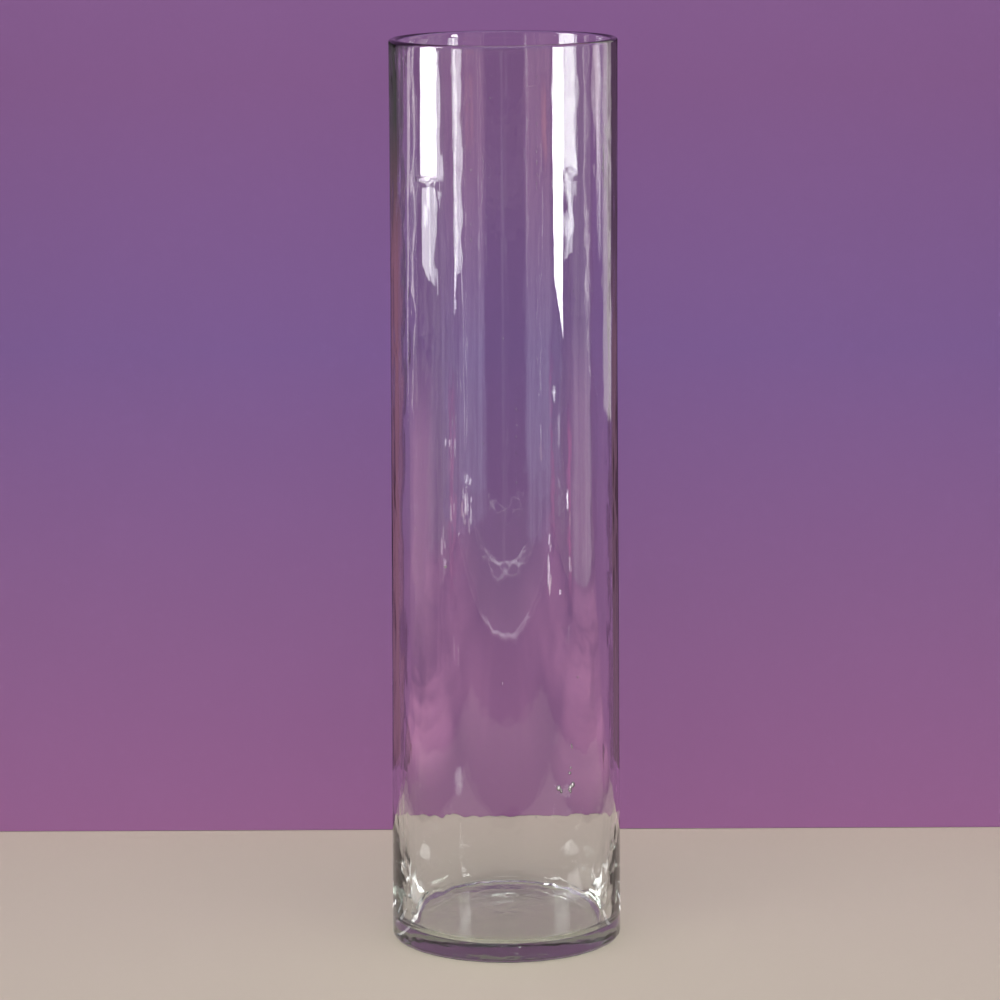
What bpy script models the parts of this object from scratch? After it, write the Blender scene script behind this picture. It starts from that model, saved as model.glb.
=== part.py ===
"""Tall clear glass cylinder vase, blown as a single body of glass.

Metres, +Z up. The origin is the centre of the foot, on the surface that the vase stands on.
"""

import math

import bpy

# Driving dimensions
OUTER_DIAMETER = 0.155
HEIGHT = 0.610
WALL_THICKNESS = 0.0046
FLOOR_THICKNESS = 0.010  # glass between the hollow and the foot's plane
THICKENING_TOP = 0.086  # below this height the wall thickens inwards, towards the floor
THICKENING_BEND = 0.026  # height over which the inner wall turns from upright to the cone's lean
CONE_LEAN = math.radians(5.5)  # lean of the inner wall between that bend and the corner
INNER_CORNER_RADIUS = 0.0075  # where the hollow's floor turns up into the wall
HEEL_RADIUS = 0.003  # outer corner between the wall and the foot
FOOT_RING_INNER_RADIUS = 0.064  # inside this radius the underside is dished
DISH_DEPTH = 0.0012  # rise of the underside at the axis

# Smoothness of the solid
STEPS_AROUND = 96
RIM_SEGMENTS = 8
WALL_FOOT_SEGMENTS = 8
CORNER_SEGMENTS = 8
HEEL_SEGMENTS = 6
DISH_SEGMENTS = 4
MERGE_DISTANCE = 0.00001  # closes the turned shape at its seam and on the axis

# Glass
GLASS_COLOUR = (0.95, 0.98, 0.96, 1.0)
GLASS_ROUGHNESS = 0.02
GLASS_IOR = 1.52


def clear_scene():
    """Removes every object that the scene already holds."""
    for existing in list(bpy.data.objects):
        bpy.data.objects.remove(existing)


def new_collection(name):
    """A collection linked to the scene."""
    collection = bpy.data.collections.new(name)
    bpy.context.scene.collection.children.link(collection)
    return collection


def clear_glass():
    """Colourless soda-lime glass with a faint green tint."""
    material = bpy.data.materials.new("clear_glass")
    material.use_nodes = True
    shader = material.node_tree.nodes["Principled BSDF"]
    shader.inputs["Base Color"].default_value = GLASS_COLOUR
    shader.inputs["Roughness"].default_value = GLASS_ROUGHNESS
    shader.inputs["Metallic"].default_value = 0.0
    shader.inputs["Transmission Weight"].default_value = 1.0
    shader.inputs["IOR"].default_value = GLASS_IOR
    return material


def arc(centre, radius, start_degrees, end_degrees, segments):
    """Points (distance from the axis, height) along a circular arc, both ends included."""
    points = []
    for step in range(segments + 1):
        angle = math.radians(start_degrees + (end_degrees - start_degrees) * step / segments)
        points.append((centre[0] + radius * math.cos(angle), centre[1] + radius * math.sin(angle)))
    return points


def dished_underside():
    """The shallow spherical dish under the foot, from the foot ring in to the axis."""
    span = FOOT_RING_INNER_RADIUS
    sphere_radius = (span**2 + DISH_DEPTH**2) / (2 * DISH_DEPTH)
    centre_height = DISH_DEPTH - sphere_radius
    points = []
    for step in range(DISH_SEGMENTS + 1):
        distance = span * (1 - step / DISH_SEGMENTS)
        height = centre_height + math.sqrt(sphere_radius**2 - distance**2)
        points.append((distance, height))
    return points


def thickened_wall(inner):
    """The inner wall above the corner: a cone, then a bend tangent to the cone and to the straight wall."""
    slope = math.tan(CONE_LEAN)
    corner_top = FLOOR_THICKNESS + INNER_CORNER_RADIUS * (1 - math.sin(CONE_LEAN))
    cone_top = THICKENING_TOP - THICKENING_BEND
    cone_top_radius = inner - slope * THICKENING_BEND / 2
    points = [(cone_top_radius - slope * (cone_top - corner_top), corner_top)]
    for step in range(WALL_FOOT_SEGMENTS + 1):
        below = THICKENING_BEND * (1 - step / WALL_FOOT_SEGMENTS)
        points.append((inner - slope * below**2 / (2 * THICKENING_BEND), THICKENING_TOP - below))
    return points


def hollow(inner):
    """The hollow's outline: floor from the axis, rounded corner and the thickened foot of the wall."""
    wall = thickened_wall(inner)
    corner_centre = (
        wall[0][0] - INNER_CORNER_RADIUS * math.cos(CONE_LEAN),
        FLOOR_THICKNESS + INNER_CORNER_RADIUS,
    )
    lean = math.degrees(CONE_LEAN)
    corner = arc(corner_centre, INNER_CORNER_RADIUS, -90, -lean, CORNER_SEGMENTS)
    return [(0.0, FLOOR_THICKNESS)] + corner[:-1] + wall


def vase_profile():
    """Half section: out along the hollow's floor, up inside, over the rim, down outside, in underneath."""
    outer = OUTER_DIAMETER / 2
    inner = outer - WALL_THICKNESS
    lip = WALL_THICKNESS / 2
    rim_centre = (outer - lip, HEIGHT - lip)
    heel_centre = (outer - HEEL_RADIUS, HEEL_RADIUS)
    points = hollow(inner)
    points += arc(rim_centre, lip, 180, 0, RIM_SEGMENTS)
    points += arc(heel_centre, HEEL_RADIUS, 0, -90, HEEL_SEGMENTS)
    points += dished_underside()
    return points


def profile_mesh(name, points):
    """An open chain of edges through the profile's points, in the XZ plane."""
    mesh = bpy.data.meshes.new(name)
    vertices = [(distance, 0.0, height) for distance, height in points]
    edges = [(index, index + 1) for index in range(len(points) - 1)]
    mesh.from_pydata(vertices, edges, [])
    return mesh


def turned(name, points, material, collection):
    """A solid of revolution about Z."""
    body = bpy.data.objects.new(name, profile_mesh(name, points))
    collection.objects.link(body)
    body.data.materials.append(material)
    screw = body.modifiers.new("turn", "SCREW")
    screw.axis = "Z"
    screw.angle = math.radians(360)
    screw.steps = STEPS_AROUND
    screw.render_steps = STEPS_AROUND
    screw.use_smooth_shade = True
    screw.use_merge_vertices = True
    screw.merge_threshold = MERGE_DISTANCE
    return body


def main():
    """Builds the vase."""
    clear_scene()
    vase = new_collection("glass_cylinder_vase")
    turned("vase_body", vase_profile(), clear_glass(), vase)


main()
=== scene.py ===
"""Looks of the clear glass cylinder vase: blown-glass surface, air seeds, studio stage and camera."""

import math

import bmesh
import bpy
import numpy as np
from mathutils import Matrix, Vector


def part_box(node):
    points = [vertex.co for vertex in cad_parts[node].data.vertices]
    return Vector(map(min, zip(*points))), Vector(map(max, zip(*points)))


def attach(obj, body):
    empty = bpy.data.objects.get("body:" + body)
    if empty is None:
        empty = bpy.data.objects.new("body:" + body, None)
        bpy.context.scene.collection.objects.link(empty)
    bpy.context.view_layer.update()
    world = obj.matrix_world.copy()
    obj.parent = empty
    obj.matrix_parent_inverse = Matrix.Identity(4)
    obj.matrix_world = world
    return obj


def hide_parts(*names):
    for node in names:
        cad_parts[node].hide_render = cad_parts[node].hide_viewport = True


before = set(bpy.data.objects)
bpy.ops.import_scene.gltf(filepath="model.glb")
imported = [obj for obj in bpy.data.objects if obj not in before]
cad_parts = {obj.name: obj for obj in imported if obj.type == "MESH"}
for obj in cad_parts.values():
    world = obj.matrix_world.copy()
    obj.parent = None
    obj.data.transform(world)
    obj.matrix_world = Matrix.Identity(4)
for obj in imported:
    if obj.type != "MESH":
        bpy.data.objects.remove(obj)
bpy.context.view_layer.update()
CAD_LOW, CAD_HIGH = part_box("vase_body")

# ---------------------------------------------------------------- sizes, metres
OUTER_RADIUS = (CAD_HIGH.x - CAD_LOW.x) / 2
HEIGHT = CAD_HIGH.z
WALL = 0.0046
LIP = WALL / 2
FLOOR_TOP = 0.010
THICKENING_TOP = 0.086
THICKENING_BEND = 0.026      # over this height the inner wall turns from upright to its full lean
CONE_LEAN = math.radians(5.5)
CORNER_RADIUS = 0.0075
HEEL_RADIUS = 0.003
FOOT_RING_INNER = 0.064
DISH_DEPTH = 0.0012
MOUTH_FLARE = 0.0009         # the mouth is this much wider in radius than the body
FLARE_START = 0.30           # height where the flare begins
HOLLOW_OFFSET = 0.0009       # the hollow sits this far off the outside's axis, so one wall is thinner

# ---------------------------------------------------------------- mesh resolution
COLUMNS = 384
LOW_WALL = 0.10              # below this height the rows lie closer together
LOW_WALL_ROWS = 60
HIGH_WALL_ROWS = 136
FLOOR_RINGS = 28
CORNER_ROWS = 12
RIM_ROWS = 12
HEEL_ROWS = 8
FOOT_RINGS = 8
DISH_RINGS = 22
SEED_RINGS = 6
SEED_SIDES = 10


# ================================================================ blown-glass surface
def wave_field(seed, waves, spread):
    """A smooth random field of (angle, height): a sum of travelling waves.

    spread gives the ranges of whole waves round the vase and of waves up its height. Returns a function
    whose values have a standard deviation of about one.
    """
    rng = np.random.default_rng(seed)
    around = rng.integers(spread[0][0], spread[0][1] + 1, waves)
    up = rng.uniform(spread[1][0], spread[1][1], waves) * rng.choice([-1, 1], waves)
    phase = rng.uniform(0, 2 * np.pi, waves)
    weight = rng.uniform(0.5, 1.0, waves)
    weight = weight / np.sqrt((weight**2).sum() / 2)

    def field(angle, height):
        total = np.zeros(np.broadcast(angle, height).shape)
        for k, u, p, w in zip(around, up, phase, weight):
            total += w * np.sin(k * angle + 2 * np.pi * u * height / HEIGHT + p)
        return total

    return field


OUTSIDE_SWELL = wave_field(3, 9, ((0, 3), (0.4, 3.0)))
INSIDE_SWELL = wave_field(5, 12, ((0, 3), (0.4, 2.4)))
OUTSIDE_RIPPLE = wave_field(11, 26, ((8, 26), (0.5, 9.0)))
INSIDE_RIPPLE = wave_field(17, 34, ((10, 34), (1.0, 16.0)))
INSIDE_RAGGED = wave_field(19, 40, ((22, 54), (12.0, 44.0)))
RAGGED_WHERE = wave_field(37, 10, ((2, 9), (2.0, 8.0)))
OUTSIDE_CORDS = wave_field(23, 24, ((18, 62), (0.0, 0.5)))
INSIDE_CORDS = wave_field(29, 30, ((16, 70), (0.0, 0.6)))
LOW_TWIST = wave_field(31, 18, ((14, 44), (20.0, 60.0)))
HEEL_WAVE = wave_field(43, 30, ((9, 56), (0.0, 30.0)))
FLOOR_WAVE = wave_field(41, 12, ((0, 4), (1.0, 6.0)))
DISH_WAVE = wave_field(47, 24, ((3, 22), (4.0, 30.0)))

# standard deviations of the waves in the two surfaces, metres
OUTSIDE_SWELL_RISE = 0.00010
OUTSIDE_RIPPLE_RISE = 0.000014
OUTSIDE_TWIST_RISE = 0.000011
OUTSIDE_CORD_RISE = 0.000006
HEEL_RISE = 0.000100
INSIDE_SWELL_RISE = 0.00012
INSIDE_RIPPLE_RISE = 0.000022
INSIDE_RAGGED_RISE = 0.000013
INSIDE_TWIST_RISE = 0.000020
INSIDE_CORD_RISE = 0.000009
HOLLOW_FLOOR_RISE = 0.00004
DISH_RISE = 0.00001
DISH_EDGE_RISE = 0.00004     # added near the foot ring
LIP_SWAY = 0.00035           # rise and fall of the lip once round
LIP_SWAY_TWICE = 0.00018     # and twice round
LIP_SWAY_DEPTH = 0.05        # the sway dies out this far below the lip
TWIST_TURN = 0.4             # radians between the twists of the two surfaces

# raggedness of the inner wall: its mean and swing, its limits, and how much of it is lost near the floor
RAGGED_MEAN, RAGGED_SWING = 0.5, 0.6
RAGGED_LIMITS = (0.1, 1.6)
RAGGED_LOSS = 0.7

# where the waves die out: up from the foot, and for the dish inwards from the foot ring
OUTSIDE_TWIST_REACH = 0.075
INSIDE_TWIST_REACH = 0.085
HEEL_REACH = 0.006
DISH_EDGE_REACH = 0.010
RADIUS_STRETCH = 4           # from a radius in the floor or dish to a height in its wave field

BACK_CORD_RIGHT = -151.3     # degrees right of the front
BACK_CORD_WIDTH = 0.0055
BACK_CORD_RISE = 0.00013
CALM_WIDTH = 0.34            # radians either side of the front where the surfaces are smoother
CALM_SHARE = 0.92

# small hollows in the inner wall: degrees right of the front, height, half width, half height, depth
DIMPLES = (
    (-43.0, 0.527, 0.0038, 0.0090, 0.000070),
    (-47.5, 0.505, 0.0030, 0.0045, -0.000040),
    (-38.0, 0.470, 0.0028, 0.0120, 0.000030),
    (24.0, 0.578, 0.0030, 0.0050, 0.000045),
    (36.0, 0.545, 0.0030, 0.0110, -0.000050),
    (37.0, 0.505, 0.0030, 0.0060, 0.000060),
    (-27.0, 0.548, 0.0028, 0.0050, 0.000035),
    (33.0, 0.118, 0.0040, 0.0080, 0.000120),
)


def dimples(angle, height):
    """The small hollows as one field of depths."""
    total = np.zeros(np.broadcast(angle, height).shape)
    for right, up, half_width, half_height, depth in DIMPLES:
        turn = np.angle(np.exp(1j * (angle - math.radians(right - 90))))
        across = OUTER_RADIUS * turn / half_width
        total += depth * np.exp(-(across**2) - ((height - up) / half_height) ** 2)
    return total


def calm(angle):
    """How much of the waviness is left: less at the very front of the vase."""
    turn = np.angle(np.exp(1j * (angle + math.pi / 2)))
    return 1 - CALM_SHARE * np.exp(-((turn / CALM_WIDTH) ** 2))


def back_cord(angle):
    """A broad upright cord in the back of the wall: both surfaces bulge there together."""
    turn = np.angle(np.exp(1j * (angle - math.radians(BACK_CORD_RIGHT - 90))))
    return BACK_CORD_RISE * np.exp(-((OUTER_RADIUS * turn / BACK_CORD_WIDTH) ** 2))


def flared(height):
    """How much wider the mouth opens, at a height."""
    return MOUTH_FLARE * np.clip((height - FLARE_START) / (HEIGHT - FLARE_START), 0, 1) ** 2


def outside_shift(angle, height):
    """How far the outer surface stands out from a true cylinder."""
    near_floor = np.exp(-((height / OUTSIDE_TWIST_REACH) ** 2))
    at_heel = np.exp(-((height / HEEL_REACH) ** 2))
    waves = (
        OUTSIDE_SWELL_RISE * OUTSIDE_SWELL(angle, height)
        + OUTSIDE_RIPPLE_RISE * OUTSIDE_RIPPLE(angle, height)
        + OUTSIDE_TWIST_RISE * near_floor * LOW_TWIST(angle, height)
    )
    return (
        flared(height)
        + back_cord(angle)
        + calm(angle) * waves
        + OUTSIDE_CORD_RISE * OUTSIDE_CORDS(angle, height)
        + HEEL_RISE * at_heel * HEEL_WAVE(angle, height)
    )


def inside_shift(angle, height):
    """How far the inner surface stands out, away from the axis, from a true turned hollow."""
    near_floor = np.exp(-((height / INSIDE_TWIST_REACH) ** 2))
    ragged = np.clip(RAGGED_MEAN + RAGGED_SWING * RAGGED_WHERE(angle, height), *RAGGED_LIMITS)
    ragged = ragged * (1 - RAGGED_LOSS * near_floor)
    waves = (
        INSIDE_SWELL_RISE * INSIDE_SWELL(angle, height)
        + INSIDE_RIPPLE_RISE * INSIDE_RIPPLE(angle, height)
        + INSIDE_RAGGED_RISE * ragged * INSIDE_RAGGED(angle, height)
        + INSIDE_TWIST_RISE * near_floor * LOW_TWIST(angle + TWIST_TURN, height)
    )
    return (
        flared(height)
        + back_cord(angle)
        + HOLLOW_OFFSET * np.cos(angle)
        + calm(angle) * waves
        + INSIDE_CORD_RISE * INSIDE_CORDS(angle, height)
        + dimples(angle, height)
    )


# ================================================================ the section, as rows of (radius, height)
def arc_rows(centre, radius, start, end, rows):
    """Points along an arc in the (radius, height) plane, angles in radians, both ends included."""
    turn = np.linspace(start, end, rows + 1)
    return np.stack([centre[0] + radius * np.cos(turn), centre[1] + radius * np.sin(turn)], 1)


def wall_heights(low, high):
    """Heights of the wall's rows, both ends included, closer together near the floor."""
    near = np.linspace(low, LOW_WALL, LOW_WALL_ROWS + 1)
    return np.concatenate([near, np.linspace(LOW_WALL, high, HIGH_WALL_ROWS + 1)[1:]])


def bore(heights):
    """Radius of the hollow up the wall: straight, then a slow bend into a cone towards the floor."""
    below = np.clip(THICKENING_TOP - heights, 0, None)
    bend = np.minimum(below, THICKENING_BEND)
    slope = math.tan(CONE_LEAN)
    return OUTER_RADIUS - WALL - slope * bend**2 / (2 * THICKENING_BEND) - slope * (below - bend)


def inner_rows():
    """The hollow: floor from near the axis, corner, thickened wall foot, then straight up to the lip."""
    corner_top = FLOOR_TOP + CORNER_RADIUS * (1 - math.sin(CONE_LEAN))
    centre = (float(bore(corner_top)) - CORNER_RADIUS * math.cos(CONE_LEAN), FLOOR_TOP + CORNER_RADIUS)
    floor_radii = np.linspace(0, centre[0], FLOOR_RINGS + 1)[1:-1]
    floor = np.stack([floor_radii, np.full(len(floor_radii), FLOOR_TOP)], 1)
    corner = arc_rows(centre, CORNER_RADIUS, -math.pi / 2, -CONE_LEAN, CORNER_ROWS)
    heights = wall_heights(corner_top, HEIGHT - LIP)[1:-1]
    wall = np.stack([bore(heights), heights], 1)
    return np.concatenate([floor, corner, wall])


def rim_rows():
    """The fire-polished lip: a half circle over the wall."""
    return arc_rows((OUTER_RADIUS - LIP, HEIGHT - LIP), LIP, math.pi, 0, RIM_ROWS)


def outer_rows():
    """Down the outside, round the heel, across the foot ring and into the dish."""
    heights = wall_heights(HEEL_RADIUS, HEIGHT - LIP)[-2:0:-1]
    wall = np.stack([np.full(len(heights), OUTER_RADIUS), heights], 1)
    heel = arc_rows((OUTER_RADIUS - HEEL_RADIUS, HEEL_RADIUS), HEEL_RADIUS, 0, -math.pi / 2, HEEL_ROWS)
    ring_radii = np.linspace(OUTER_RADIUS - HEEL_RADIUS, FOOT_RING_INNER, FOOT_RINGS + 1)[1:]
    ring = np.stack([ring_radii, np.zeros(len(ring_radii))], 1)
    dish_radii = np.linspace(FOOT_RING_INNER, 0, DISH_RINGS + 1)[1:-1]
    dish = np.stack([dish_radii, DISH_DEPTH * (1 - (dish_radii / FOOT_RING_INNER) ** 2)], 1)
    return np.concatenate([wall, heel, ring, dish])


def glass_points():
    """Every vertex of the glass's skin as (rows, columns, 3), and the two poles on the axis."""
    inside, rim, outside = inner_rows(), rim_rows(), outer_rows()
    rows = np.concatenate([inside, rim, outside])
    outward = np.concatenate([np.zeros(len(inside)), np.linspace(0, 1, len(rim)), np.ones(len(outside))])
    angle = np.arange(COLUMNS) * 2 * np.pi / COLUMNS
    radius, height = rows[:, :1], rows[:, 1:]
    shift = (1 - outward[:, None]) * inside_shift(angle[None], height)
    shift = shift + outward[:, None] * outside_shift(angle[None], height)
    fade = np.clip(radius / OUTER_RADIUS, 0, 1) ** 2
    spread = radius + shift * fade
    # the floor of the hollow and the underside are gently uneven, the foot ring stays flat
    level = np.zeros_like(spread)
    floor_part = slice(0, FLOOR_RINGS - 1)
    floor_wave = FLOOR_WAVE(angle[None], radius[floor_part] * RADIUS_STRETCH)
    level[floor_part] = HOLLOW_FLOOR_RISE * floor_wave * (1 - fade[floor_part])
    dish_part = slice(len(rows) - DISH_RINGS + 1, len(rows))
    inwards = 1 - (radius[dish_part] / FOOT_RING_INNER) ** 2
    near_ring = np.exp(-(((FOOT_RING_INNER - radius[dish_part]) / DISH_EDGE_REACH) ** 2))
    rough = (DISH_RISE + DISH_EDGE_RISE * near_ring) * np.clip(inwards * 3, 0, 1)
    level[dish_part] = rough * DISH_WAVE(angle[None], radius[dish_part] * RADIUS_STRETCH)
    lip_sway = LIP_SWAY * np.sin(angle + 0.8) + LIP_SWAY_TWICE * np.sin(2 * angle + 2.1)
    lift = np.clip((height - (HEIGHT - LIP_SWAY_DEPTH)) / LIP_SWAY_DEPTH, 0, 1)
    z = height + level + lift * lip_sway[None]
    points = np.stack([spread * np.cos(angle), spread * np.sin(angle), z + 0 * spread], 2)
    poles = [(0.0, 0.0, FLOOR_TOP), (0.0, 0.0, DISH_DEPTH)]
    return points, poles


# ================================================================ seeds: air bubbles caught in the glass
SEED_COUNT = 70
SEED_LOWEST, SEED_SPAN = 0.03, 0.57    # heights over which they are scattered
FLOOR_SEEDS = 16
FLOOR_SEED_REACH = 0.062     # from the axis
# strings of seeds: degrees right of the front, lower and upper height
SEED_STRINGS = ((-16.5, 0.470, 0.590), (16.8, 0.500, 0.592), (6.0, 0.300, 0.380), (-52.0, 0.180, 0.300))
STRING_STEP = 0.0062         # between the seeds of a string
# flat blisters: degrees right of the front, height, half width, half height, degrees of lean
BLISTERS = (
    (27.4, 0.1142, 0.0017, 0.0020, 8),
    (28.8, 0.1120, 0.0010, 0.0016, 0),
    (35.6, 0.1150, 0.0018, 0.0020, -8),
    (34.0, 0.1130, 0.0015, 0.0024, -12),
    (34.3, 0.1108, 0.0009, 0.0011, 0),
    (33.9, 0.1232, 0.0011, 0.0012, 0),
    (34.5, 0.1266, 0.0008, 0.0009, 0),
    (35.2, 0.1409, 0.0006, 0.0020, 8),
)
BLISTER_THICKNESS = 0.0007   # half of it


def wall_seed(right, height, deep, halves, lean=0.0):
    """A seed in the wall: degrees right of the front, its height and its depth as a share of the wall."""
    angle = math.radians(right - 90)
    skin = float(outside_shift(angle, height))
    hollow = float(inside_shift(angle, height)) - WALL
    distance = OUTER_RADIUS + skin + deep * (hollow - skin)
    centre = Vector((distance * math.cos(angle), distance * math.sin(angle), height))
    return centre, angle, halves, math.radians(lean)


def wall_seeds():
    """Seeds scattered over the wall, fine strings of them along a few cords, and some flat blisters."""
    rng = np.random.default_rng(101)
    found = []
    for _ in range(SEED_COUNT):
        right, height = rng.uniform(-180, 180), SEED_LOWEST + SEED_SPAN * rng.uniform() ** 0.9
        size = min(0.00010 + 0.00012 * rng.exponential(), 0.0005)
        halves = (size, size, size * rng.uniform(1.1, 2.6))
        found.append(wall_seed(right, height, rng.uniform(0.35, 0.65), halves))
    for right, low, high in SEED_STRINGS:
        for height in np.arange(low, high, STRING_STEP):
            size = rng.uniform(0.00012, 0.00028)
            halves = (size, size, size * rng.uniform(1.5, 5))
            place = float(height) + rng.uniform(-0.002, 0.002)
            found.append(wall_seed(right + rng.uniform(-0.25, 0.25), place, 0.5, halves))
    for right, height, half_width, half_height, lean in BLISTERS:
        thickness = min(half_width, BLISTER_THICKNESS)
        found.append(wall_seed(right, height, 0.5, (thickness, half_width, half_height), lean))
    return found


def floor_seeds():
    """A few seeds in the thick floor."""
    rng = np.random.default_rng(103)
    found = []
    for _ in range(FLOOR_SEEDS):
        angle, distance = rng.uniform(0, 2 * math.pi), FLOOR_SEED_REACH * math.sqrt(rng.uniform())
        size = 0.00018 + 0.0002 * rng.exponential()
        up = rng.uniform(0.0045, 0.009)
        centre = Vector((distance * math.cos(angle), distance * math.sin(angle), up))
        found.append((centre, angle, (min(size, 0.0008),) * 3, 0.0))
    return found


def seed_skin(centre, angle, halves, lean, first):
    """A closed bubble: its vertices, and its faces turned to look into the air inside it."""
    outward = Vector((math.cos(angle), math.sin(angle), 0))
    side_on = Vector((-math.sin(angle), math.cos(angle), 0))
    along = side_on * math.cos(lean) + Vector((0, 0, math.sin(lean)))
    upward = Vector((0, 0, math.cos(lean))) - side_on * math.sin(lean)
    vertices = [centre + upward * halves[2]]
    for ring in range(1, SEED_RINGS):
        polar = math.pi * ring / SEED_RINGS
        for side in range(SEED_SIDES):
            turn = 2 * math.pi * side / SEED_SIDES
            step = outward * (halves[0] * math.cos(turn)) + along * (halves[1] * math.sin(turn))
            vertices.append(centre + step * math.sin(polar) + upward * (halves[2] * math.cos(polar)))
    vertices.append(centre - upward * halves[2])
    last = first + len(vertices) - 1
    faces = []
    for side in range(SEED_SIDES):
        after = (side + 1) % SEED_SIDES
        faces.append((first, first + 1 + after, first + 1 + side))
        below = last - SEED_SIDES
        faces.append((last, below + side, below + after))
        for ring in range(SEED_RINGS - 2):
            upper = first + 1 + ring * SEED_SIDES
            lower = upper + SEED_SIDES
            faces.append((upper + side, upper + after, lower + after, lower + side))
    return vertices, faces


# ================================================================ the glass as one mesh
def mesh_object(name, vertices, faces):
    """A smooth-shaded mesh object linked to the scene."""
    mesh = bpy.data.meshes.new(name)
    mesh.from_pydata(vertices, [], faces)
    mesh.validate()
    mesh.shade_smooth()
    made = bpy.data.objects.new(name, mesh)
    bpy.context.scene.collection.objects.link(made)
    return made


def glass_body():
    """The whole vase as one mesh: its closed skin and the closed bubbles inside the glass."""
    points, poles = glass_points()
    rows, columns = points.shape[:2]
    vertices = np.concatenate([points.reshape(-1, 3), np.array(poles)]).tolist()
    index = np.arange(rows * columns).reshape(rows, columns)
    following = np.roll(index, -1, axis=1)
    quads = np.stack([index[:-1], following[:-1], following[1:], index[1:]], 2).reshape(-1, 4)
    first_pole, last_pole = rows * columns, rows * columns + 1
    faces = [tuple(q) for q in quads[:, ::-1].tolist()]
    faces += [(first_pole, int(a), int(b)) for a, b in zip(index[0], following[0])]
    faces += [(last_pole, int(b), int(a)) for a, b in zip(index[-1], following[-1])]
    smooth_count = len(vertices)
    for centre, angle, halves, lean in wall_seeds() + floor_seeds():
        skin, turned = seed_skin(centre, angle, halves, lean, len(vertices))
        vertices += [tuple(v) for v in skin]
        faces += turned
    made = mesh_object("glass_body", vertices, faces)
    frost = made.data.attributes.new("frost", "FLOAT", "POINT")
    frost.data.foreach_set("value", [0.0] * smooth_count + [1.0] * (len(vertices) - smooth_count))
    return made


# ================================================================ materials
def stretched_noise(nodes, links, where, squash, scale, detail):
    """Noise drawn out along the vase's height."""
    stretch = nodes.new("ShaderNodeMapping")
    stretch.inputs["Scale"].default_value = (1.0, 1.0, squash)
    links.new(where.outputs["Object"], stretch.inputs["Vector"])
    noise = nodes.new("ShaderNodeTexNoise")
    noise.inputs["Scale"].default_value = scale
    noise.inputs["Detail"].default_value = detail
    links.new(stretch.outputs["Vector"], noise.inputs["Vector"])
    return noise


def maths(nodes, links, operation, *values):
    """One step of arithmetic on sockets and plain numbers."""
    node = nodes.new("ShaderNodeMath")
    node.operation = operation
    for slot, value in zip(node.inputs, values):
        if isinstance(value, bpy.types.NodeSocket):
            links.new(value, slot)
        else:
            slot.default_value = value
    return node.outputs[0]


def bump(nodes, links, height, strength, distance, below=None):
    """The normals of a bump, laid over another bump's normals if there is one."""
    node = nodes.new("ShaderNodeBump")
    node.inputs["Strength"].default_value = strength
    node.inputs["Distance"].default_value = distance
    links.new(height, node.inputs["Height"])
    if below is not None:
        links.new(below, node.inputs["Normal"])
    return node.outputs["Normal"]


def between(nodes, links, source, low, high, new_low, new_high):
    """A value carried from one range to another, held at its ends."""
    node = nodes.new("ShaderNodeMapRange")
    for name, value in zip(("From Min", "From Max", "To Min", "To Max"), (low, high, new_low, new_high)):
        node.inputs[name].default_value = value
    links.new(source, node.inputs["Value"])
    return node.outputs["Result"]


# oval chill mark on the front of the wall
MARK_CENTRE = (-0.0520, -0.0555, 0.5190)
MARK_HALVES = (0.0046, 0.030, 0.0024)
MARK_RIDGE = 0.16            # half width of its ridge, as a share of the oval
MARK_HEIGHT = 0.00009


def ring_mark(nodes, links, where):
    """The height of the chill mark: a thin oval ridge."""
    place = nodes.new("ShaderNodeMapping")
    place.vector_type = "POINT"
    place.inputs["Scale"].default_value = [1 / half for half in MARK_HALVES]
    place.inputs["Location"].default_value = [-c / half for c, half in zip(MARK_CENTRE, MARK_HALVES)]
    links.new(where.outputs["Object"], place.inputs["Vector"])
    length = nodes.new("ShaderNodeVectorMath")
    length.operation = "LENGTH"
    links.new(place.outputs["Vector"], length.inputs[0])
    away = maths(nodes, links, "SUBTRACT", length.outputs["Value"], 1.0)
    return between(nodes, links, maths(nodes, links, "ABSOLUTE", away), 0.0, MARK_RIDGE, 1.0, 0.0)


GLASS_IOR = 1.52
CORD_BUMP = 0.05             # strength of the bump of fine drawn cords
CORD_HEIGHT = 0.0006
SEED_ROUGHNESS = 0.25
SEED_WHITE = 0.85            # share of a seed's rough skin that scatters light
SEED_MIRROR = 0.7            # share of it that mirrors light, as air under glass does
GLASS_DEPTH_COLOUR = (0.44, 0.53, 0.46, 1)
GLASS_DEPTH_DENSITY = 9.0    # per metre


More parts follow.
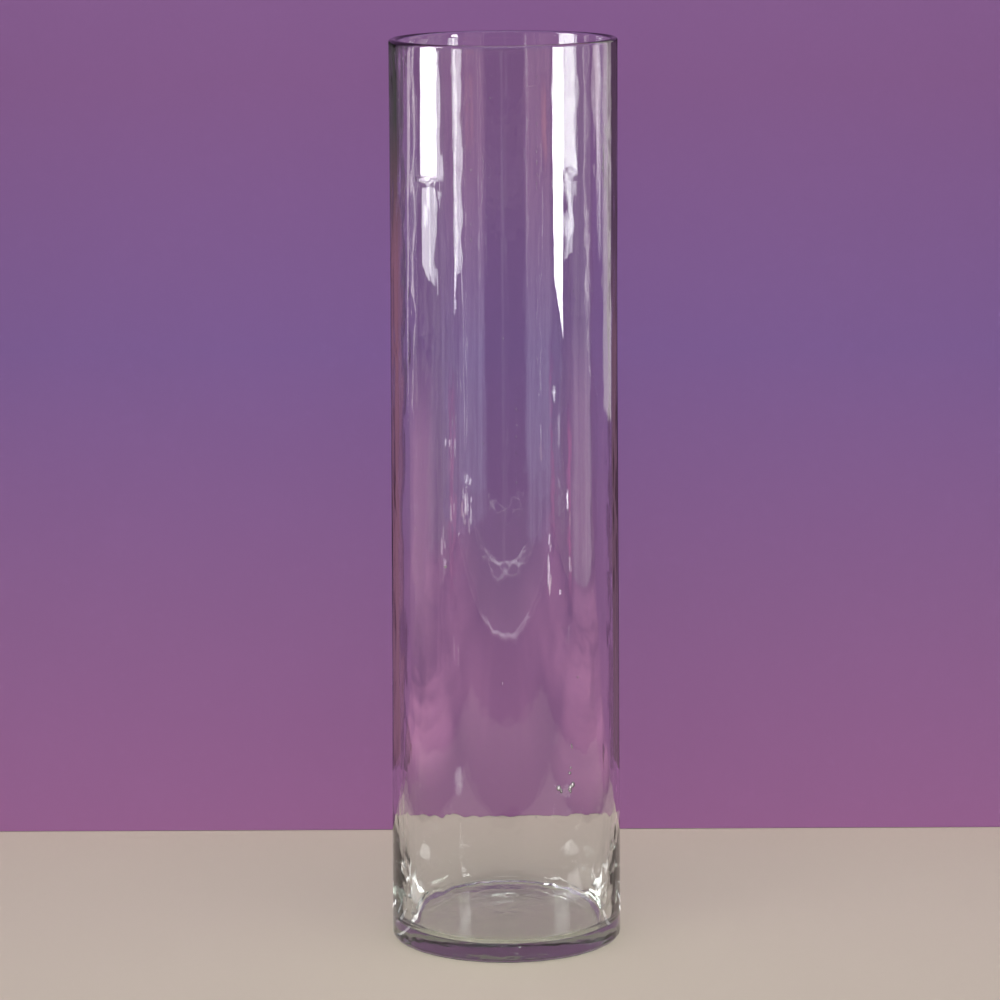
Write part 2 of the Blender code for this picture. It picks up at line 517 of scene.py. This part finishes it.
def glass_material():
    """Clear soda-lime glass: a faint grey-green tint, a trace of haze, fine drawn cords in the bump."""
    material = bpy.data.materials.new("clear_glass")
    material.use_nodes = True
    nodes, links = material.node_tree.nodes, material.node_tree.links
    shader = nodes["Principled BSDF"]
    shader.inputs["IOR"].default_value = GLASS_IOR
    where = nodes.new("ShaderNodeTexCoord")

    tint = nodes.new("ShaderNodeMix")
    tint.data_type = "RGBA"
    tint.inputs["A"].default_value = (0.970, 0.980, 0.975, 1)
    tint.inputs["B"].default_value = (0.990, 0.994, 0.992, 1)
    cloud = stretched_noise(nodes, links, where, 0.3, 14, 3)
    links.new(between(nodes, links, cloud.outputs["Fac"], 0.35, 0.65, 0, 1), tint.inputs["Factor"])
    links.new(tint.outputs["Result"], shader.inputs["Base Color"])

    haze = stretched_noise(nodes, links, where, 0.5, 38, 5)
    wiped = between(nodes, links, haze.outputs["Fac"], 0.62, 0.80, 0.0, 0.03)
    seeds = nodes.new("ShaderNodeAttribute")
    seeds.attribute_name = "frost"
    rough = maths(nodes, links, "MULTIPLY_ADD", seeds.outputs["Fac"], SEED_ROUGHNESS, wiped)
    links.new(rough, shader.inputs["Roughness"])
    clearness = between(nodes, links, seeds.outputs["Fac"], 0, 1, 1, 1 - SEED_WHITE)
    links.new(clearness, shader.inputs["Transmission Weight"])
    mirror = between(nodes, links, seeds.outputs["Fac"], 0, 1, 0, SEED_MIRROR)
    links.new(mirror, shader.inputs["Metallic"])

    cords = stretched_noise(nodes, links, where, 0.04, 260, 2)
    normals = bump(nodes, links, cords.outputs["Fac"], CORD_BUMP, CORD_HEIGHT)
    ream = stretched_noise(nodes, links, where, 0.22, 150, 1)
    normals = bump(nodes, links, ream.outputs["Fac"], CORD_BUMP, CORD_HEIGHT, normals)
    normals = bump(nodes, links, ring_mark(nodes, links, where), 1.0, MARK_HEIGHT, normals)
    links.new(normals, shader.inputs["Normal"])

    # lamps shine through the glass instead of leaving a black shadow
    output = nodes["Material Output"]
    path = nodes.new("ShaderNodeLightPath")
    clear = nodes.new("ShaderNodeBsdfTransparent")
    clear.inputs["Color"].default_value = (0.88, 0.90, 0.89, 1)
    mix = nodes.new("ShaderNodeMixShader")
    links.new(path.outputs["Is Shadow Ray"], mix.inputs["Fac"])
    links.new(shader.outputs["BSDF"], mix.inputs[1])
    links.new(clear.outputs["BSDF"], mix.inputs[2])
    links.new(mix.outputs["Shader"], output.inputs["Surface"])
    depth = nodes.new("ShaderNodeVolumeAbsorption")
    depth.inputs["Color"].default_value = GLASS_DEPTH_COLOUR
    depth.inputs["Density"].default_value = GLASS_DEPTH_DENSITY
    links.new(depth.outputs["Volume"], output.inputs["Volume"])
    return material


def height_ramp(nodes, links, by_height):
    """A colour shaded through (height, colour) pairs, lowest first."""
    where = nodes.new("ShaderNodeNewGeometry")
    apart = nodes.new("ShaderNodeSeparateXYZ")
    links.new(where.outputs["Position"], apart.inputs["Vector"])
    ramp = nodes.new("ShaderNodeValToRGB")
    low, high = by_height[0][0], by_height[-1][0]
    links.new(between(nodes, links, apart.outputs["Z"], low, high, 0, 1), ramp.inputs["Fac"])
    stops = ramp.color_ramp.elements
    while len(stops) < len(by_height):
        stops.new(1)
    for stop, (height, colour) in zip(stops, by_height):
        stop.position = (height - low) / (high - low)
        stop.color = (*colour, 1)
    return ramp.outputs["Color"]


def matt_material(name, colour, by_height=()):
    """Plain matt paper for the stage, of one colour or shaded through (height, colour) pairs."""
    material = bpy.data.materials.new(name)
    material.use_nodes = True
    nodes, links = material.node_tree.nodes, material.node_tree.links
    shader = nodes["Principled BSDF"]
    shader.inputs["Base Color"].default_value = (*colour, 1)
    shader.inputs["Roughness"].default_value = 1.0
    shader.inputs["Specular IOR Level"].default_value = 0.0
    if by_height:
        links.new(height_ramp(nodes, links, by_height), shader.inputs["Base Color"])
    return material


def bare_glow(name):
    """A material that only glows: itself, its nodes and links, and its glow."""
    material = bpy.data.materials.new(name)
    material.use_nodes = True
    material.cycles.emission_sampling = "NONE"
    nodes, links = material.node_tree.nodes, material.node_tree.links
    nodes.remove(nodes["Principled BSDF"])
    glow = nodes.new("ShaderNodeEmission")
    links.new(glow.outputs["Emission"], nodes["Material Output"].inputs["Surface"])
    return material, nodes, links, glow


def glow_material(name, colour, power, soft, folds, low_colour=None):
    """A glowing card, dimmer at its edges, streaked upright if it has folds, of low_colour at its foot."""
    material, nodes, links, glow = bare_glow(name)
    glow.inputs["Color"].default_value = (*colour, 1)
    where = nodes.new("ShaderNodeTexCoord")
    apart = nodes.new("ShaderNodeSeparateXYZ")
    links.new(where.outputs["Generated"], apart.inputs["Vector"])
    level = nodes.new("ShaderNodeValue").outputs[0]
    level.default_value = power
    factors = []
    for axis, edge in (("X", soft[0]), ("Y", soft[1])):
        if edge:
            fall = maths(nodes, links, "PINGPONG", apart.outputs[axis], 0.5)
            factors.append(between(nodes, links, fall, 0, edge, 0, 1))
    if folds:
        noise = nodes.new("ShaderNodeTexNoise")
        noise.noise_dimensions = "1D"
        noise.inputs["Scale"].default_value = folds
        noise.inputs["Detail"].default_value = 3
        links.new(apart.outputs["X"], noise.inputs["W"])
        factors.append(between(nodes, links, noise.outputs["Fac"], 0.38, 0.62, 0.25, 1))
    for factor in factors:
        level = maths(nodes, links, "MULTIPLY", level, factor)
    links.new(level, glow.inputs["Strength"])
    if low_colour:
        by_height = tuple(zip(DRAPE_CHANGE, (low_colour, colour)))
        links.new(height_ramp(nodes, links, by_height), glow.inputs["Color"])
    return material


def fading_glow(name, by_height):
    """A glow shaded through (height, colour) pairs."""
    material, nodes, links, glow = bare_glow(name)
    links.new(height_ramp(nodes, links, by_height), glow.inputs["Color"])
    return material


# ================================================================ stage
FLOOR_SIDE = 12
FLOOR_LEVEL = -0.0004        # a hair below the foot, so the two never coincide
FLOOR_COLOUR = (0.66, 0.59, 0.48)
LAMP_POWER = 27              # watts
EDGE_CARD_LOW = 0.08
EDGE_CARD_HIGH = 0.62
EDGE_CARD_BACK = 0.12        # behind the vase's axis
DRAPE_CHANGE = (0.16, 0.36)  # heights between which the drapes change colour
SMALL_LIGHT_POOLS = 12
GLINT_REACH = 0.55           # from the wall to the cards that make the small glints
BACKDROP_DISTANCE = 0.271
BACKDROP_WIDTH = 8
BACKDROP_HEIGHT = 4
BACKDROP_COLOURS = (         # by height
    (-0.05, (0.56, 0.245, 0.55)),
    (0.16, (0.43, 0.215, 0.50)),
    (0.36, (0.315, 0.18, 0.48)),
    (0.56, (0.32, 0.155, 0.385)),
)
CAMERA_DISTANCE = 2.824
CAMERA_HEIGHT = 0.7964
LENS = 148.9                 # millimetres, on a frame 36 wide
SHIFT_X = -0.0015
SHIFT_Y = -0.7353
ROLL = math.radians(0.26)
PAPER_END = 1.440            # the table paper ends this far in front of the vase
PAPER_FOLD = 1.10            # and has its fold here


def plane(name, width, depth, material):
    """A flat rectangle about the origin, in XY."""
    mesh = bpy.data.meshes.new(name)
    shape = bmesh.new()
    bmesh.ops.create_grid(shape, x_segments=1, y_segments=1, size=0.5)
    bmesh.ops.scale(shape, vec=(width, depth, 1), verts=shape.verts)
    shape.to_mesh(mesh)
    shape.free()
    mesh.materials.append(material)
    made = bpy.data.objects.new(name, mesh)
    bpy.context.scene.collection.objects.link(made)
    return made


def camera():
    """The photograph's viewpoint: a level camera above the vase with its frame shifted down."""
    data = bpy.data.cameras.new("camera")
    data.lens = LENS
    data.sensor_width = 36
    data.clip_start, data.clip_end = 0.05, 60
    made = bpy.data.objects.new("camera", data)
    made.location = (0, -CAMERA_DISTANCE, CAMERA_HEIGHT)
    made.rotation_euler = (math.pi / 2, ROLL, 0)
    bpy.context.scene.collection.objects.link(made)
    bpy.context.scene.camera = made
    for name, amount in (("shift_x", SHIFT_X), ("shift_y", SHIFT_Y)):
        drive_shift(made, name, amount)
    return made


def drive_shift(made, name, amount):
    """Keeps a frame shift only while the camera stands at its own viewpoint."""
    driver = made.data.driver_add(name).driver
    driver.type = "SCRIPTED"
    height = driver.variables.new()
    height.name = "height"
    height.type = "SINGLE_PROP"
    height.targets[0].id = made
    height.targets[0].data_path = "location[2]"
    driver.expression = f"{amount} if abs(height - {CAMERA_HEIGHT}) < 0.0001 else 0"


def unseen(made, rig):
    """Fixes a stage piece to the rig and shows it only to rays that the glass mirrors or bends."""
    made.parent = rig
    made.visible_camera = False
    made.visible_diffuse = False
    made.visible_shadow = False
    made.visible_volume_scatter = False


def upright(name, width, low, high, material, lean, slant):
    """A four-cornered card in local XY: lean raises its lower corner at +X, slant moves its lower edge."""
    half, middle = width / 2, (low + high) / 2
    corners = (
        (-half + slant, low - middle, 0),
        (half + slant, low - middle + lean, 0),
        (half, high - middle, 0),
        (-half, high - middle, 0),
    )
    mesh = bpy.data.meshes.new(name)
    mesh.from_pydata(corners, [], [(0, 1, 2, 3)])
    mesh.materials.append(material)
    made = bpy.data.objects.new(name, mesh)
    bpy.context.scene.collection.objects.link(made)
    return made


def facing_axis(made, place):
    """Stands a card at a place, facing the vase's axis."""
    made.location = place
    made.rotation_mode = "QUATERNION"
    made.rotation_quaternion = Vector((-place.x, -place.y, 0)).to_track_quat("Z", "Y")


def card(
    name, rig, azimuth, distance, low, high, width, power,
    colour=(1, 1, 1), soft=(0.02, 0.01), folds=0, lean=0.0, slant=0.0, low_colour=None,
):
    """An upright glowing card. Azimuth 0 is at the camera, 90 to its right, seen from above the vase.

    lean raises the lower corner on the side of the smaller azimuth, slant moves the lower edge that way.
    """
    glow = glow_material(name, colour, power, soft, folds, low_colour)
    made = upright(name, width, low, high, glow, lean, slant)
    turn = math.radians(azimuth)
    facing_axis(made, Vector((math.sin(turn) * distance, -math.cos(turn) * distance, (low + high) / 2)))
    unseen(made, rig)


def glint(name, rig, right, low, high, width, power, colour):
    """A card mirrored to the camera by the wall, between two heights and right degrees off the front."""
    turn = math.radians(right)
    facing = Vector((math.sin(turn), -math.cos(turn)))
    spot = facing * OUTER_RADIUS
    ray = spot - Vector((0, -CAMERA_DISTANCE))
    reach = ray.length
    ray.normalize()
    away = ray - facing * (2 * ray.dot(facing))
    place = spot + away * GLINT_REACH
    heights = [up - (CAMERA_HEIGHT - up) / reach * GLINT_REACH for up in (low, high)]
    glow = glow_material(name, colour, power, (0.3, 0.15), 0)
    made = upright(name, width, *heights, glow, 0.0, width * 0.3)
    facing_axis(made, Vector((place.x, place.y, sum(heights) / 2)))
    unseen(made, rig)


def floor_card(name, rig, near, far, width, power, colour, height, soft=(0, 0), folds=0, right=0.0):
    """A flat card on the floor, from near to far in front of the vase's axis, its middle at right."""
    made = plane(name, width, far - near, glow_material(name, colour, power, soft, folds))
    made.location = (right, -(near + far) / 2, height)
    unseen(made, rig)


def edge_shade_card(name, rig, near, far, low_colour, high_colour, change):
    """A dim glowing card just behind and beside the vase: only light turned back by the edges of its wall
    meets it, so its glow is painted shade in those edges.
    """
    glow = fading_glow(name, tuple(zip(change, (low_colour, high_colour))))
    made = plane(name, abs(far - near), EDGE_CARD_HIGH - EDGE_CARD_LOW, glow)
    made.rotation_euler = (math.pi / 2, 0, 0)
    made.location = ((near + far) / 2, EDGE_CARD_BACK, (EDGE_CARD_LOW + EDGE_CARD_HIGH) / 2)
    unseen(made, rig)


def lamp(name, rig, place, size, power, colour=(1, 1, 1)):
    """A large soft lamp aimed at the vase."""
    data = bpy.data.lights.new(name, "AREA")
    data.shape = "RECTANGLE"
    data.size, data.size_y = size
    data.energy = power
    data.color = colour
    made = bpy.data.objects.new(name, data)
    bpy.context.scene.collection.objects.link(made)
    made.location = place
    made.rotation_mode = "QUATERNION"
    made.rotation_quaternion = (Vector(place) - Vector((0, 0, 0.2))).to_track_quat("Z", "Y")
    made.visible_camera = False
    made.visible_glossy = False
    made.visible_transmission = False
    made.parent = rig


def reflections(rig):
    """Painted reflections: glowing cards for two windows, drapes by the camera, rose cloths, the table's
    near edge.
    """
    # every card here glows to paint what the glass mirrors or shows through it; the camera never sees them
    card("left_window", rig, -77.2, 0.75, 0.440, 1.15, 0.290, 18)
    card("left_window_low", rig, -80.8, 0.75, 0.360, 0.438, 0.140, 9, lean=0.014)
    card("left_window_bar", rig, -69.0, 0.75, 0.420, 0.441, 0.022, 11)
    card("right_window", rig, 55.6, 2.20, 0.113, 1.40, 0.430, 26, lean=0.074)
    rosy, bluish = (0.95, 0.62, 0.70), (0.74, 0.78, 1.0)
    card("left_drape", rig, -43, 1.60, 0.0, 2.2, 1.30, 1.0, rosy, (0.04, 0), 14, low_colour=bluish)
    card("right_drape", rig, 34, 1.55, 0.0, 2.2, 0.72, 0.95, rosy, (0.06, 0), 9, low_colour=bluish)
    card("right_wall", rig, 82, 1.30, 0.0, 2.0, 0.62, 0.9, (1.0, 0.95, 0.95), (0.05, 0), 6)
    warm_grey = (1.0, 0.91, 0.90)
    card("right_grey_near", rig, 99, 0.80, 0.36, 0.62, 0.14, 2.4, warm_grey, (0.1, 0), slant=-0.23)
    card("right_grey_far", rig, 123.5, 0.36, 0.29, 1.1, 0.166, 0.95, warm_grey, lean=0.024)
    card("left_grey", rig, -102.5, 0.80, 0.17, 0.62, 0.044, 3.6, warm_grey, (0.1, 0), slant=0.14)
    card("low_rose", rig, -95, 0.85, 0.0, 0.30, 0.80, 1.0, (1.0, 0.55, 0.72), (0.3, 0.3))
    card("left_rose", rig, -123, 0.80, 0.10, 0.66, 0.24, 0.45, (1.0, 0.80, 0.86), (0.1, 0.1))
    card("warm_strip", rig, 40, 0.90, 0.44, 0.52, 0.10, 1.5, (1.0, 0.42, 0.24), (0.25, 0.25))
    card("left_line", rig, -42.5, 0.75, 0.229, 0.458, 0.006, 5, slant=-0.050)
    card("left_stand", rig, -25, 1.20, 0.30, 0.90, 0.012, 2.4)
    card("right_stand", rig, 23, 1.20, 0.30, 0.90, 0.010, 2.4)
    card("middle_stand", rig, -2, 1.40, 0.0, 0.90, 0.040, 0.5)
    rose = (0.90, 0.40, 0.60)
    floor_card("rose_cloth", rig, 0.45, PAPER_FOLD - 0.02, 2.4, 1.2, rose, 0.0012, (0.05, 0.45), 5)
    floor_card("rose_cloth_left", rig, -0.35, 0.48, 1.0, 1.9, rose, 0.0012, (0.15, 0.15), 6, right=-0.9)
    floor_card("rose_cloth_right", rig, -0.35, 0.48, 1.0, 1.3, rose, 0.0012, (0.15, 0.15), 6, right=0.9)
    # the table paper as the glass shows it: painted shade between its fold and its end, painted bright
    # lines along the fold and the end
    floor_card("paper_shade", rig, PAPER_FOLD, PAPER_END, 5, 0.26, (1, 0.95, 0.9), 0.001)
    floor_card("paper_beyond", rig, PAPER_END, 4.5, 8, 0.04, (1, 1, 1), 0.002)
    floor_card("paper_edge_near", rig, PAPER_FOLD - 0.015, PAPER_FOLD, 0.9, 2.2, (1, 1, 1), 0.003)
    floor_card("paper_edge_far", rig, PAPER_END - 0.017, PAPER_END, 1.0, 2.2, (1, 1, 1), 0.003)
    # dark glows: painted shade for the dark bands along the edges of the glass
    dark_rose, dark_grey, brown_rose = (0.055, 0.025, 0.060), (0.064, 0.056, 0.060), (0.23, 0.10, 0.165)
    edge_shade_card("left_edge", rig, -0.102, -0.120, dark_rose, dark_grey, (0.40, 0.56))
    edge_shade_card("left_edge_beyond", rig, -0.120, -0.22, brown_rose, dark_grey, (0.44, 0.54))
    edge_shade_card("right_edge", rig, 0.096, 0.114, dark_rose, dark_rose, (0.40, 0.52))
    plum = (0.16, 0.08, 0.13), (0.085, 0.045, 0.085)
    edge_shade_card("right_edge_beyond", rig, 0.114, 0.20, *plum, (0.38, 0.46))
    top = plane("overhead_card", 0.90, 0.45, glow_material("overhead_card", (1, 1, 1), 4.5, (0.2, 0.2), 0))
    top.location = (0.05, -0.5, 1.9)
    unseen(top, rig)
    glints(rig)


def floor_light_pool(name, rig, azimuth, distance, long, wide, power):
    """A painted pool of light on the floor near the vase, seen only through the glass."""
    made = plane(name, long, wide, glow_material(name, (1.0, 0.97, 0.94), power, (0.2, 0.2), 0))
    turn = math.radians(azimuth)
    made.location = (math.sin(turn) * distance, -math.cos(turn) * distance, 0.0015)
    made.rotation_euler = (0, 0, turn - math.pi / 2)
    unseen(made, rig)


# degrees right of the front, lower and upper height on the wall, width of the card, power, warmth
GLINTS = (
    (33.0, 0.2970, 0.3120, 0.016, 12, 0.0),
    (34.3, 0.2850, 0.2960, 0.020, 2.5, 1.0),
    (27.6, 0.3400, 0.3640, 0.022, 2.6, 0.0),
    (23.0, 0.2750, 0.2820, 0.020, 10, 0.0),
    (22.4, 0.2490, 0.2700, 0.016, 9, 0.0),
    (23.4, 0.2430, 0.2540, 0.022, 5, 0.6),
    (34.0, 0.2560, 0.2680, 0.012, 7, 0.2),
    (28.4, 0.2420, 0.2450, 0.020, 12, 0.0),
    (33.4, 0.2080, 0.2220, 0.016, 1.2, 0.3),
    (-21.2, 0.3080, 0.3160, 0.014, 9, 0.0),
    (-21.6, 0.2960, 0.3080, 0.022, 3.5, 1.0),
    (-33.4, 0.2690, 0.2820, 0.016, 4.5, 0.2),
    (-32.2, 0.2540, 0.2690, 0.016, 1.6, 0.0),
    (-26.2, 0.1980, 0.2150, 0.010, 5, 0.2),
    (-30.4, 0.3430, 0.3480, 0.022, 11, 0.0),
    (-26.6, 0.3560, 0.3640, 0.014, 1.8, 0.0),
)


def glints(rig):
    """Painted glints low down, as sunlit things beyond the table would make, two rose streaks, and painted
    pools of light on the floor.
    """
    for index, (right, low, high, width, power, warm) in enumerate(GLINTS):
        colour = (1.0, 1 - 0.22 * warm, 1 - 0.30 * warm)
        glint(f"glint_{index}", rig, right, low, high, width, power, colour)
    card("rose_glint_left", rig, -54, 0.90, 0.06, 0.26, 0.05, 1.7, (1.0, 0.22, 0.42), (0.3, 0.2))
    card("rose_glint_right", rig, 66, 0.90, 0.06, 0.24, 0.045, 1.7, (1.0, 0.22, 0.42), (0.3, 0.2))
    # painted pools of light on the floor round the foot
    floor_light_pool("floor_spot_right", rig, 61, 0.24, 0.09, 0.07, 3.0)
    floor_light_pool("floor_spot_left", rig, -84, 0.20, 0.07, 0.06, 3.0)
    rng = np.random.default_rng(109)
    for index in range(SMALL_LIGHT_POOLS):
        azimuth = rng.choice([-1, 1]) * rng.uniform(78, 138)
        long, wide = rng.uniform(0.014, 0.040), rng.uniform(0.005, 0.012)
        distance, power = rng.uniform(0.088, 0.135), rng.uniform(1.5, 3.5)
        floor_light_pool(f"small_light_pool_{index}", rig, azimuth, distance, long, wide, power)


def stage(cam):
    """Pale floor, plain backdrop and soft lights, all turned to stand opposite the camera."""
    rig = bpy.data.objects.new("stage_rig", None)
    bpy.context.scene.collection.objects.link(rig)
    follow = rig.constraints.new("LOCKED_TRACK")
    follow.target = cam
    follow.track_axis = "TRACK_NEGATIVE_Y"
    follow.lock_axis = "LOCK_Z"

    floor = plane("floor", FLOOR_SIDE, FLOOR_SIDE, matt_material("floor_paper", FLOOR_COLOUR))
    floor.location = (0, 0, FLOOR_LEVEL)
    paper = matt_material("backdrop_paper", BACKDROP_COLOURS[0][1], BACKDROP_COLOURS)
    backdrop = plane("backdrop", BACKDROP_WIDTH, BACKDROP_HEIGHT, paper)
    backdrop.rotation_euler = (math.pi / 2, 0, 0)
    backdrop.location = (0, BACKDROP_DISTANCE, BACKDROP_HEIGHT / 2)
    backdrop.parent = rig
    lamp("overhead", rig, (0, -0.5, 1.9), (1.6, 1.0), LAMP_POWER)
    reflections(rig)
    studio_air()


def studio_air():
    """Dim light from all round, a little stronger on the matt stage than in the glass."""
    world = bpy.data.worlds.new("studio")
    world.use_nodes = True
    nodes, links = world.node_tree.nodes, world.node_tree.links
    sky = nodes["Background"]
    sky.inputs["Color"].default_value = (0.55, 0.54, 0.57, 1)
    path = nodes.new("ShaderNodeLightPath")
    strength = between(nodes, links, path.outputs["Is Diffuse Ray"], 0, 1, 0.10, 0.32)
    links.new(strength, sky.inputs["Strength"])
    bpy.context.scene.world = world


def cycles_quality():
    """Enough bounces for light to pass both walls of the glass and back."""
    cycles = bpy.context.scene.cycles
    cycles.max_bounces = 32
    cycles.transmission_bounces = 24
    cycles.glossy_bounces = 12
    cycles.transparent_max_bounces = 24
    bpy.context.scene.view_settings.view_transform = "Standard"


def main():
    """Builds the glass and its stage."""
    glass = glass_body()
    glass.data.materials.append(glass_material())
    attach(glass, "root")
    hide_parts("vase_body")
    stage(camera())
    cycles_quality()


main()
